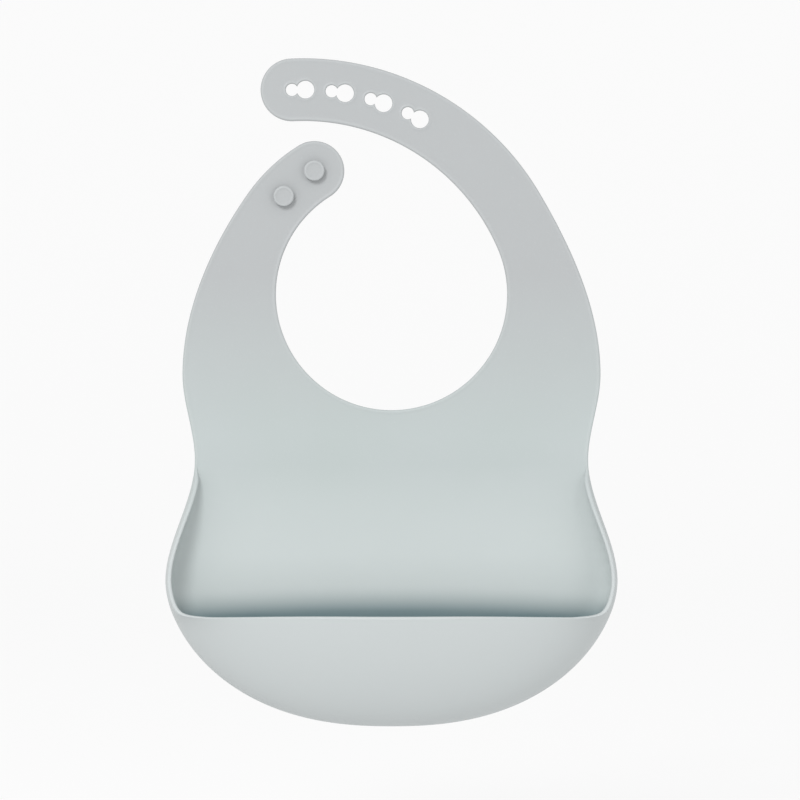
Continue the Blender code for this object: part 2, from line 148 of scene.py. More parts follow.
# What counts as rubbed, in millimetres: the raised part of a bead, and the rim of a stud's head.
BEAD_RISE = 0.17
RUBBED_INSET = 0.3
STUD_RUBBED_RADIUS = 4.2
STUD_RUBBED_DEPTH = -4.5


def ray(angle):
    return np.array((math.cos(angle), math.sin(angle)))


NECK_CENTRE = np.zeros(2)
KEY_STRAP_CENTRE = -(KEY_STRAP_INNER - NECK_RADIUS) * ray(KEY_STRAP_TANGENT)


# The outline, as points (x, z).


def arc(centre, radius, start, end, steps=240):
    angles = np.linspace(start, end, steps)
    return centre + radius * np.stack((np.cos(angles), np.sin(angles)), axis=1)


def shoulder_curve(side):
    if side < 0:
        start = STUD_STRAP_OUTER * ray(STUD_STRAP_SHOULDER)
        direction = ray(STUD_STRAP_SHOULDER + math.pi / 2)
    else:
        start = KEY_STRAP_CENTRE + KEY_STRAP_OUTER * ray(KEY_STRAP_SHOULDER)
        direction = ray(KEY_STRAP_SHOULDER - math.pi / 2)
    end = np.array((side * SHOULDER_HALF_WIDTH, SHOULDER_HEIGHT))
    reach = SHOULDER_EASE * np.linalg.norm(end - start)
    return start, start + direction * reach, end + np.array((0.0, reach)), end


def along(curve, start, end, steps=300):
    a, b, c, d = curve
    share = np.linspace(start, end, steps)[:, None]
    rest = 1 - share
    return a * rest**3 + 3 * b * rest**2 * share + 3 * c * rest * share**2 + d * share**3


def crossing(curve, centre, angle):
    """The share along the curve at which it crosses the line through the centre at this angle."""
    across = ray(angle + math.pi / 2)
    shares = np.linspace(0.0, 1.0, 20001)
    sides = (along(curve, 0.0, 1.0, shares.size) - centre) @ across
    turn = np.nonzero(np.diff(np.sign(sides)))[0][0]
    step = sides[turn] / (sides[turn] - sides[turn + 1])
    return shares[turn] + step * (shares[1] - shares[0])


def eased(share):
    share = np.clip(share, 0.0, 1.0)
    return share * share * (3 - 2 * share)


def half_width(height):
    """Half the sheet's width at a height between the shoulders and the pocket's widest place."""
    height = np.asarray(height, float)
    upper = (SHOULDER_HEIGHT - height) / (SHOULDER_HEIGHT - WAIST_HEIGHT)
    lower = (WAIST_HEIGHT - height) / (WAIST_HEIGHT - POCKET_WIDE_HEIGHT)
    chest = SHOULDER_HALF_WIDTH + (WAIST_HALF_WIDTH - SHOULDER_HALF_WIDTH) * eased(upper)
    pocket = WAIST_HALF_WIDTH + (POCKET_HALF_WIDTH - WAIST_HALF_WIDTH) * eased(lower)
    return np.where(height >= WAIST_HEIGHT, chest, pocket)


def side_edge(side, top, bottom, steps=400):
    heights = np.linspace(top, bottom, steps)
    return np.stack((side * half_width(heights), heights), axis=1)


def bottom_edge(steps=2001):
    turn = np.linspace(0.0, math.pi, steps)
    across, down = np.cos(turn), np.sin(turn)
    width = POCKET_HALF_WIDTH * np.sign(across) * np.abs(across) ** (2 / BOTTOM_FULLNESS_ACROSS)
    depth = (POCKET_WIDE_HEIGHT - BOTTOM_HEIGHT) * np.abs(down) ** (2 / BOTTOM_FULLNESS_DOWN)
    return np.stack((width, POCKET_WIDE_HEIGHT - depth), axis=1)


def resampled(points, spacing):
    """The same line with evenly spaced points, both ends kept."""
    lengths = np.linalg.norm(np.diff(points, axis=0), axis=1)
    points = points[np.concatenate(([True], lengths > SAME_POINT))]
    travelled = np.concatenate(([0.0], np.cumsum(np.linalg.norm(np.diff(points, axis=0), axis=1))))
    count = max(3, round(travelled[-1] / spacing) + 1)
    wanted = np.linspace(0.0, travelled[-1], count)
    return np.stack([np.interp(wanted, travelled, points[:, k]) for k in (0, 1)], axis=1)


def whole_outline():
    """The outline as one loop with the sheet on its right, and the index where each section starts."""
    neck, key = NECK_CENTRE, KEY_STRAP_CENTRE
    left, right = shoulder_curve(-1), shoulder_curve(1)
    right_cut = crossing(right, neck, KEY_SEAMS[0])
    left_cuts = [crossing(left, neck, angle) for angle in STUD_SEAMS]
    key_middle = key + KEY_STRAP_RADIUS * ray(KEY_STRAP_END)
    stud_middle = STUD_STRAP_RADIUS * ray(STUD_STRAP_END)
    join = np.concatenate
    sections = {
        "stud_a_inner": arc(neck, NECK_RADIUS, STUD_SEAMS[1], STUD_SEAMS[0]),
        "neck": arc(neck, NECK_RADIUS, STUD_SEAMS[0], math.tau + KEY_SEAMS[0], NECK_STEPS),
        "key_a_inner": join((
            arc(neck, NECK_RADIUS, KEY_SEAMS[0], KEY_STRAP_TANGENT),
            arc(key, KEY_STRAP_INNER, KEY_STRAP_TANGENT, KEY_SEAMS[1]),
        )),
        "key_b_inner": arc(key, KEY_STRAP_INNER, KEY_SEAMS[1], KEY_SEAMS[2]),
        "key_c": join((
            arc(key, KEY_STRAP_INNER, KEY_SEAMS[2], KEY_STRAP_END, STRAP_END_STEPS),
            arc(key_middle, KEY_STRAP_WIDTH / 2, KEY_STRAP_END + math.pi, KEY_STRAP_END, STRAP_END_STEPS),
            arc(key, KEY_STRAP_OUTER, KEY_STRAP_END, KEY_SEAMS[2], STRAP_END_STEPS),
        )),
        "key_b_outer": arc(key, KEY_STRAP_OUTER, KEY_SEAMS[2], KEY_SEAMS[1]),
        "key_a_outer": join((
            arc(key, KEY_STRAP_OUTER, KEY_SEAMS[1], KEY_STRAP_SHOULDER), along(right, 0.0, right_cut),
        )),
        "chest_right": join((
            along(right, right_cut, 1.0), side_edge(1, SHOULDER_HEIGHT, CHEST_SEAM_HEIGHT),
        )),
        "waist_right": side_edge(1, CHEST_SEAM_HEIGHT, POCKET_SEAM_HEIGHT),
        "pocket": join((
            side_edge(1, POCKET_SEAM_HEIGHT, POCKET_WIDE_HEIGHT), bottom_edge(),
            side_edge(-1, POCKET_WIDE_HEIGHT, POCKET_SEAM_HEIGHT),
        )),
        "waist_left": side_edge(-1, POCKET_SEAM_HEIGHT, CHEST_SEAM_HEIGHT),
        "chest_left": join((
            side_edge(-1, CHEST_SEAM_HEIGHT, SHOULDER_HEIGHT), along(left, 1.0, left_cuts[0]),
        )),
        "stud_a_outer": along(left, left_cuts[0], left_cuts[1]),
        "stud_b": join((
            along(left, left_cuts[1], 0.0),
            arc(neck, STUD_STRAP_OUTER, STUD_STRAP_SHOULDER, STUD_STRAP_END),
            arc(stud_middle, STUD_STRAP_WIDTH / 2, STUD_STRAP_END, STUD_STRAP_END - math.pi, STRAP_END_STEPS),
            arc(neck, NECK_RADIUS, STUD_STRAP_END, STUD_SEAMS[1], STRAP_END_STEPS),
        )),
    }
    loop, starts = [], {}
    for name, points in sections.items():
        starts[name] = sum(len(part) for part in loop)
        spacing = POCKET_ROW_SPACING if name == "pocket" else ROW_SPACING
        loop.append(resampled(points, spacing)[:-1])
    return np.concatenate(loop), starts


OUTLINE, SECTION_STARTS = whole_outline()
OUTLINE_COUNT = len(OUTLINE)


def right_normals(points):
    """Unit vectors to the right of a closed line's direction, at each of its points."""
    ahead = np.roll(points, -1, axis=0) - points
    behind = points - np.roll(points, 1, axis=0)
    ahead /= np.linalg.norm(ahead, axis=1)[:, None]
    behind /= np.linalg.norm(behind, axis=1)[:, None]
    tangent = ahead + behind
    tangent /= np.linalg.norm(tangent, axis=1)[:, None]
    return np.stack((tangent[:, 1], -tangent[:, 0]), axis=1)


OUTLINE_INWARD = right_normals(OUTLINE)


def section_rows(name):
    """Indices of a section's points, with the first point of the next section as its last."""
    names = list(SECTION_STARTS)
    following = names[(names.index(name) + 1) % len(names)]
    end = SECTION_STARTS[following] or OUTLINE_COUNT
    return np.arange(SECTION_STARTS[name], end + 1) % OUTLINE_COUNT


def edge_rows(rows, profile=EDGE_PROFILE):
    """Points (row, place in the profile, xyz) of a rounded and beaded edge."""
    table = np.array(profile) * MM
    flat = OUTLINE[rows][:, None, :] + OUTLINE_INWARD[rows][:, None, :] * table[None, :, :1]
    depth = np.broadcast_to(table[None, :, 1], flat.shape[:2])
    return np.stack((flat[..., 0], depth, flat[..., 1]), axis=2)


def edge_shine(profile=EDGE_PROFILE):
    """How much each place of the profile is a rubbed edge, from 0 on the face to 1 on the bead."""
    depth = np.abs(np.array(profile)[:, 1])
    inset = np.array(profile)[:, 0]
    return np.clip((depth - BACK / MM) / BEAD_RISE, 0.0, 1.0) * (inset > RUBBED_INSET)


# Building a piece of skin.


def inside(points, loop):
    """Which of the points lie inside the loop."""
    x, z = points[:, 0], points[:, 1]
    found = np.zeros(len(points), bool)
    for (x0, z0), (x1, z1) in zip(loop, np.roll(loop, -1, axis=0)):
        if z0 == z1:
            continue
        spans = (z0 > z) != (z1 > z)
        found ^= spans & (x < x0 + (z - z0) * (x1 - x0) / (z1 - z0))
    return found


def grid_points(loops, spacing):
    """A staggered grid inside the first loop and outside the others, clear of all of them."""
    low, high = loops[0].min(axis=0), loops[0].max(axis=0)
    rows = []
    for k, z in enumerate(np.arange(low[1], high[1], spacing * GRID_ROW_SHARE)):
        x = np.arange(low[0] + (k % 2) * spacing / 2, high[0], spacing)
        rows.append(np.stack((x, np.full(len(x), z)), axis=1))
    points = np.concatenate(rows)
    points = points[inside(points, loops[0])]
    for hole in loops[1:]:
        points = points[~inside(points, hole)]
    edge = np.concatenate(loops)
    near = np.array([np.min(np.sum((edge - p) ** 2, axis=1)) for p in points])
    return points[near > (GRID_CLEARANCE * spacing) ** 2]


def fill(loops, spacing):
    """Grid points, and triangles over the loops' points followed by the grid's."""
    grid = grid_points(loops, spacing)
    points = np.concatenate((*loops, grid))
    edges, first = [], 0
    for loop in loops:
        edges += [(first + k, first + (k + 1) % len(loop)) for k in range(len(loop))]
        first += len(loop)
    scaled = [Vector(p) for p in (points / MM).tolist()]
    verts, _, faces, origins, _, _ = delaunay_2d_cdt(scaled, edges, [], 1, FILL_TOLERANCE)
    if len(verts) != len(points):
        raise RuntimeError(f"the flat fill changed {len(points)} points into {len(verts)}")
    source = [origin[0] for origin in origins]
    triangles = np.array([[source[v] for v in face] for face in faces])
    middles = points[triangles].mean(axis=1)
    for hole in loops[1:]:
        keep = ~inside(middles, hole)
        triangles, middles = triangles[keep], middles[keep]
    return grid, triangles


def skin(name, runs, spacing, shine, holes=(), hole_shine=None, hollow=None):
    """A closed piece: its edge runs in order round the loop, straight seams between them, and holes.

    Every run and hole is a grid of points, from the front face round the edge to the back face.
    hollow works out each point's "deep" value, which marks the inside and its painted shade, from all the
    points and the runs' indices.
    """
    verts, faces, rub = [], [], []

    def add(points, values):
        first = len(verts)
        verts.extend(points)
        rub.extend(values)
        return list(range(first, len(verts)))

    def add_grid(grid, values, closed):
        count, width = grid.shape[:2]
        index = np.array(add(grid.reshape(-1, 3), np.tile(values, count))).reshape(count, width)
        for i in range(count if closed else count - 1):
            j = (i + 1) % count
            for k in range(width - 1):
                faces.append((index[i, k], index[j, k], index[j, k + 1], index[i, k + 1]))
        return index

    indices = [add_grid(run, shine, False) for run in runs]
    front_loop, back_loop = [], []
    for here, after in zip(indices, indices[1:] + indices[:1]):
        front_loop += list(here[:, 0])
        back_loop += list(here[:, -1])
        chains = []
        for a, b, loop in ((here[-1, 0], after[0, 0], front_loop), (here[-1, -1], after[0, -1], back_loop)):
            start, end = np.array(verts[a]), np.array(verts[b])
            if not chains:
                steps = max(2, round(np.linalg.norm(end - start) / min(spacing, SEAM_SPACING)))
            between = [start + (end - start) * k / steps for k in range(1, steps)]
            added = add(between, [0.0] * len(between))
            loop += added
            chains.append([a, *added, b])
        for k in range(steps):
            faces.append((chains[0][k], chains[0][k + 1], chains[1][k + 1], chains[1][k]))
        faces.append(tuple(here[-1, :]))
        faces.append(tuple(after[0, ::-1]))
    hole_indices = [add_grid(hole, hole_shine, True) for hole in holes]
    for column, loop, depth in ((0, front_loop, FRONT), (-1, back_loop, BACK)):
        groups = [list(loop)] + [list(index[:, column]) for index in hole_indices]
        flat = [np.array([(verts[v][0], verts[v][2]) for v in group]) for group in groups]
        grid, triangles = fill(flat, spacing)
        inner = add([(x, depth, z) for x, z in grid], [0.0] * len(grid))
        lookup = sum(groups, []) + inner
        faces.extend(tuple(lookup[v] for v in triangle) for triangle in triangles)
    deep = hollow(np.array(verts), indices) if hollow else None
    return make_mesh(name, np.array(verts), faces, rub, deep)


def make_mesh(name, verts, faces, rub, deep=None):
    """A smooth object in the scene, with what its material reads as attributes of its points."""
    data = bpy.data.meshes.new(name)
    data.from_pydata([tuple(map(float, v)) for v in verts], [], [tuple(map(int, f)) for f in faces])
    work = bmesh.new()
    work.from_mesh(data)
    bmesh.ops.recalc_face_normals(work, faces=work.faces)
    work.to_mesh(data)
    work.free()
    data.shade_smooth()
    data.set_sharp_from_angle(angle=SHARP_ANGLE)
    data.attributes.new("rubbed", "FLOAT", "POINT").data.foreach_set("value", np.array(rub, np.float32))
    if deep is not None:
        data.attributes.new("deep", "FLOAT", "POINT").data.foreach_set("value", np.array(deep, np.float32))
    place = data.attributes.new("place", "FLOAT_VECTOR", "POINT")
    place.data.foreach_set("vector", np.array(verts, np.float32).ravel())
    obj = bpy.data.objects.new(name, data)
    bpy.context.scene.collection.objects.link(obj)
    return obj


# Keyholes.


def keyhole_line(small, large, grow, small_count=30, large_count=38):
    """Two overlapping circles grown by the same amount, with the same number of points every time."""
    apart = large - small
    distance = np.linalg.norm(apart)
    heading = math.atan2(apart[1], apart[0])
    r, s = KEYHOLE_LARGE_RADIUS + grow, KEYHOLE_SMALL_RADIUS + grow
    small_half = math.acos((distance**2 + s**2 - r**2) / (2 * distance * s))
    large_half = math.acos((distance**2 + r**2 - s**2) / (2 * distance * r))
    first = arc(small, s, heading + small_half, heading + math.tau - small_half, small_count)
    back = heading + math.pi
    second = arc(large, r, back + large_half, back + math.tau - large_half, large_count)
    return np.concatenate((first[:-1], second[:-1]))


def keyhole_rows(index):
    """The beaded edge of one keyhole, counted from the strap's end."""
    small_angle = KEY_STRAP_END - index * FASTENER_PITCH / KEY_STRAP_RADIUS
    large_angle = small_angle - KEYHOLE_OFFSET / KEY_STRAP_RADIUS
    centres = [KEY_STRAP_CENTRE + KEY_STRAP_RADIUS * ray(a) for a in (small_angle, large_angle)]
    columns = []
    for inset, depth in KEYHOLE_PROFILE:
        line = keyhole_line(*centres, inset * MM)
        columns.append(np.stack((line[:, 0], np.full(len(line), depth * MM), line[:, 1]), axis=1))
    return np.stack(columns, axis=1)


# The pocket's wall. Each row of the outline has one section, from the panel's front face up the
# inside, over the rolled rim and down the outside to the back face.

FILLET_STEPS = 7
WALL_STEPS = 24
RIM_STEPS = 11
BACK_FROM = 11
INSIDE_COUNT = FILLET_STEPS + WALL_STEPS - 2
OUTSIDE_COUNT = WALL_STEPS - 1
BACK_COUNT = len(EDGE_PROFILE) - BACK_FROM
LENGTH_SAMPLES = 200

RIM_RADIUS = 0.00112
RIM_OVERSWEEP = math.radians(28.0)
RIM_SHORT = 0.0008
RIM_MARGIN = 0.0002
BACK_ROUND = 0.0025
CORNER_ROUND = 0.0105

# From this direction on, counted from straight down, the rim leans in by SIDE_LEAN only.
SIDEWAYS_FROM = math.radians(89.0)

# Limits that keep a section sound where the wall is low, and where it fades into the plain edge.
LEAST_RISE = 0.0006
LEAST_WALL_LENGTH = 1e-6
LEAST_RIM_STOP = 0.3
LEAST_WALL_STOP = 0.25
OUTSIDE_START_LIMIT = 0.8
CORNER_ROUND_SHARE = 0.60
WALL_FADE_FROM = 0.0007
WALL_FADE_OVER = 0.0045


def rim_reach(beta, outline):
    """The rim's distance from the pole in the direction beta. outline is the outline's distance."""
    side = outline - SIDE_LEAN
    if abs(beta) >= SIDEWAYS_FROM:
        return side
    drop = LIP_DROP * min(1.0, POLE_ABOVE_LIP * math.tan(abs(beta)) / POCKET_FRONT_HALF_WIDTH) ** 2
    lip = (POLE_ABOVE_LIP + drop) / math.cos(beta)
    return (lip + side - math.hypot(lip - side, LIP_CORNER_ROUNDING)) / 2


def rim_forward(x, height):
    """How far the rim stands forward: most at the middle of the lip, none at the waist."""
    fall = max(0.0, min(1.0, (WAIST_HEIGHT - height) / (WAIST_HEIGHT - LIP_HEIGHT)))
    bow = 1 - min(1.0, abs(x) / POCKET_HALF_WIDTH) ** 2
    return math.sin(fall * math.pi / 2) * (LIP_CORNER_REACH + (LIP_REACH - LIP_CORNER_REACH) * bow)


def along_profile(profile, counts, breaks):
    """The edge profile cut at the breaks, with the wanted count of points in each stretch."""
    table = np.array(profile) * MM
    parts = []
    for (low, high), count in zip(zip(breaks, breaks[1:]), counts):
        part = table[low:high + 1]
        travelled = np.concatenate(([0.0], np.cumsum(np.linalg.norm(np.diff(part, axis=0), axis=1))))
        wanted = np.linspace(0.0, travelled[-1], count)
        parts.append(np.stack([np.interp(wanted, travelled, part[:, k]) for k in (0, 1)], axis=1))
    return parts


def wall_section(outline, beta):
    """(reach, forward) of the wall's inside, its rim and its outside, and the wall's height.

    Reach is the distance from the pole, the point above the lip from which all sections radiate.
    """
    rim = rim_reach(beta, outline)
    rim_height = POLE_HEIGHT - rim * math.cos(beta)
    start = SHEET / 2
    end = max(start + LEAST_RISE, rim_forward(rim * math.sin(beta), rim_height))

    def outer(share):
        turn = share * SCOOP_SWEEP
        forward = start + (end - start) * np.sin(turn) / math.sin(SCOOP_SWEEP)
        inward = (1 - np.cos(turn)) / (1 - math.cos(SCOOP_SWEEP))
        return np.stack((outline + (rim - outline) * inward, forward), axis=-1)

    dense = outer(np.linspace(0.0, 1.0, LENGTH_SAMPLES))
    travelled = np.cumsum(np.linalg.norm(np.diff(dense, axis=0), axis=1))
    length = max(travelled[-1], LEAST_WALL_LENGTH)
    short = RIM_RADIUS + RIM_SHORT * max(0.0, math.cos(beta))
    stop = max(LEAST_RIM_STOP, 1.0 - short / length)
    bead_start = RIM_RADIUS * math.sin(RIM_OVERSWEEP) + RIM_MARGIN
    wall_stop = max(LEAST_WALL_STOP, stop - bead_start / length)
    whole = outer(np.append(np.linspace(0.0, wall_stop, WALL_STEPS), stop))
    tangent = np.gradient(whole, axis=0)
    tangent /= np.linalg.norm(tangent, axis=1)[:, None]
    inward = np.stack((-tangent[:, 1], tangent[:, 0]), axis=1)
    top = whole[-1]
    inner = (whole + inward * POCKET_WALL)[:-1]
    height = end - start
    lifted = (BACK_ROUND - SHEET) / height * math.sin(SCOOP_SWEEP)
    lowest = math.asin(min(lifted, OUTSIDE_START_LIMIT)) / SCOOP_SWEEP
    lowest = min(lowest, OUTSIDE_START_LIMIT * wall_stop)
    shell = outer(np.linspace(lowest, wall_stop, OUTSIDE_COUNT))
    rounding = min(CORNER_ROUND, CORNER_ROUND_SHARE * height)
    clear = inner[:, 1] > start + rounding
    last = WALL_STEPS - 1
    first = int(np.argmax(clear)) if clear.any() else last
    corner_end = inner[first]
    corner = np.array((corner_end[0] + (outline - corner_end[0] - POCKET_WALL) * 0.5, start))
    corner_start = np.array((corner[0] - rounding, start))
    t = np.linspace(0.0, 1.0, FILLET_STEPS)[:, None]
    fillet = corner_start * (1 - t) ** 2 + 2 * corner * t * (1 - t) + corner_end * t**2
    climb_share = np.linspace(first, last, WALL_STEPS)
    climb = np.stack([np.interp(climb_share, np.arange(WALL_STEPS), inner[:, k]) for k in (0, 1)], axis=1)
    centre = top + inward[-1] * POCKET_WALL / 2
    turn = np.linspace(-RIM_OVERSWEEP, math.pi + RIM_OVERSWEEP, RIM_STEPS)[:, None]
    rim_points = centre + RIM_RADIUS * (inward[-1] * np.cos(turn) + tangent[-1] * np.sin(turn))
    front = np.concatenate((fillet, climb[1:-1]))
    return front, rim_points, shell[::-1], height


def pocket_rows(rows):
    """The wall's sections along the outline. They turn into the plain beaded edge towards the waist."""
    flat_front, flat_rim, flat_outer, flat_back = along_profile(
        EDGE_PROFILE, (INSIDE_COUNT + 1, RIM_STEPS + 1, OUTSIDE_COUNT + 1, BACK_COUNT),
        (0, EDGE_TOP[0], EDGE_TOP[1], BACK_FROM, len(EDGE_PROFILE) - 1),
    )
    plain = np.concatenate((flat_front[:-1], flat_rim[:-1], flat_outer[:-1], flat_back))
    turn = np.linspace(0.0, math.pi / 2, BACK_COUNT + 1)[1:]
    back = BACK_ROUND * np.stack((1 - np.cos(turn), np.sin(turn)), axis=1) - (0.0, BACK_ROUND - BACK)
    grid = []
    for row in rows:
        point, normal = OUTLINE[row], OUTLINE_INWARD[row]
        flat = point + normal * plain[:, :1]
        edge = np.stack((flat[:, 0], plain[:, 1], flat[:, 1]), axis=1)
        reach = math.hypot(point[0], POLE_HEIGHT - point[1])
        beta = math.atan2(point[0], POLE_HEIGHT - point[1])
        front, rim, outer, height = wall_section(reach, beta)
        section = np.concatenate((front, rim, outer))
        wall = np.stack((
            section[:, 0] * math.sin(beta), -section[:, 1], POLE_HEIGHT - section[:, 0] * math.cos(beta),
        ), axis=1)
        under = point + normal * back[:, :1]
        wall = np.concatenate((wall, np.stack((under[:, 0], back[:, 1], under[:, 1]), axis=1)))
        rise = float(eased((height - WALL_FADE_FROM) / WALL_FADE_OVER))
        grid.append(edge + (wall - edge) * rise)
    return np.array(grid)


# The painted shade inside the pocket. It starts at DEEP_TOP, is full at DEEP_BOTTOM, and gets lighter
# again down towards the floor and forward towards the front wall.
INSIDE_LEVEL = 0.2
DEEP_TOP = -0.1447
DEEP_BOTTOM = -0.1587
DEEP_POWER = 1.7
DROP_LIMIT = 1.3
FLOOR_LIGHTER = 0.75
FLOOR_LIGHTER_BELOW = 0.0030
FLOOR_LIGHTER_OVER = 0.0380
FRONT_LIGHTER = 0.90
FRONT_LIGHTER_FROM = -0.0050
FRONT_LIGHTER_OVER = 0.0140
BEHIND_FRONT_FACE = FRONT * 0.99
RIM_FADE = (0.75, 0.35, 0.1)


def pocket_depth(verts, indices):
    """INSIDE_LEVEL on the inside, rising to 1 low in the pocket. The outside and back are 0."""
    grid = indices[0]
    drop = LIP_DROP * np.minimum(DROP_LIMIT, (verts[:, 0] / POCKET_FRONT_HALF_WIDTH) ** 2)
    deep = np.clip((DEEP_TOP - drop - verts[:, 2]) / (DEEP_TOP - DEEP_BOTTOM), 0.0, 1.0) ** DEEP_POWER
    floor = eased((DEEP_BOTTOM - FLOOR_LIGHTER_BELOW - verts[:, 2]) / FLOOR_LIGHTER_OVER)
    front = eased((FRONT_LIGHTER_FROM - verts[:, 1]) / FRONT_LIGHTER_OVER)
    deep *= 1 - FLOOR_LIGHTER * floor
    deep *= 1 - FRONT_LIGHTER * front
    deep = INSIDE_LEVEL + (1 - INSIDE_LEVEL) * deep
    deep[verts[:, 1] > BEHIND_FRONT_FACE] = 0.0
    fade = np.zeros(grid.shape[1])
    fade[:INSIDE_COUNT] = 1.0
    fade[INSIDE_COUNT:INSIDE_COUNT + len(RIM_FADE)] = RIM_FADE
    deep[grid.ravel()] *= np.tile(fade, len(grid))
    return deep


def pocket_shine():
    """1 on the rolled rim and 0 elsewhere, for each place of the wall's section."""
    values = np.zeros(INSIDE_COUNT + RIM_STEPS + OUTSIDE_COUNT + BACK_COUNT)
    values[INSIDE_COUNT:INSIDE_COUNT + RIM_STEPS] = 1.0
    return values


# Studs.


def stud(name, angle):
    """A round button: STUD_PROFILE turned about a line through the middle of the strap."""
    centre = STUD_STRAP_RADIUS * ray(angle)
    verts, rub, faces = [(centre[0], STUD_PROFILE[0][1] * MM, centre[1])], [0.0], []
    for radius, depth in STUD_PROFILE[1:]:
        for k in range(STUD_SIDES):
            x, z = centre + radius * MM * ray(math.tau * k / STUD_SIDES)
            verts.append((x, depth * MM, z))
            rub.append(1.0 if radius > STUD_RUBBED_RADIUS and depth < STUD_RUBBED_DEPTH else 0.0)
    tip = len(verts)
    verts.append((centre[0], STUD_PROFILE[-1][1] * MM, centre[1]))
    rub.append(0.0)
    last_ring = tip - STUD_SIDES
    for ring in range(1, last_ring, STUD_SIDES):
        above = ring + STUD_SIDES
        for k in range(STUD_SIDES):
            m = (k + 1) % STUD_SIDES
            faces.append((ring + k, ring + m, above + m, above + k))
    for k in range(STUD_SIDES):
        m = (k + 1) % STUD_SIDES
        faces.append((0, 1 + m, 1 + k))
        faces.append((tip, last_ring + k, last_ring + m))
    return make_mesh(name, np.array(verts), faces, rub)


# Silicone.

PANEL_COLOUR = (0.403, 0.443, 0.443, 1.0)
MOTTLE_COLOUR = (0.393, 0.437, 0.432, 1.0)
# Painted shade: a darker, greyer copy of the same silicone, which the straps turn to higher up.
STRAP_PAINTED_SHADE_COLOUR = (0.360, 0.374, 0.380, 1.0)
# Painted light: a lighter copy of the same silicone, which the pocket's outside turns to lower down.
POCKET_PAINTED_LIGHT_COLOUR = (0.452, 0.482, 0.484, 1.0)
# Painted light: the pocket's inside is lighter still than its outside, though it is the same silicone.
INSIDE_PAINTED_LIGHT_COLOUR = (0.478, 0.520, 0.518, 1.0)
RUB_COLOUR = (0.500, 0.535, 0.535, 1.0)
# The dark painted shade inside the pocket, just below the lip.
PAINTED_SHADE_COLOUR = (0.085, 0.148, 0.164, 1.0)

# Heights between which one colour turns into the next: up into the straps, and down into the pocket.
STRAP_COLOUR_FADE = (-0.070, 0.010)
POCKET_COLOUR_FADE = (-0.085, -0.130)

# The most of each colour that is mixed in. WORN_SMOOTHER comes off the roughness on rubbed edges.
SPECKLE_AMOUNT = 0.22
WORN_AMOUNT = 0.16
PAINTED_SHADE_AMOUNT = 0.88
WORN_SMOOTHER = 0.10
ROUGHNESS_RANGE = (0.54, 0.66)


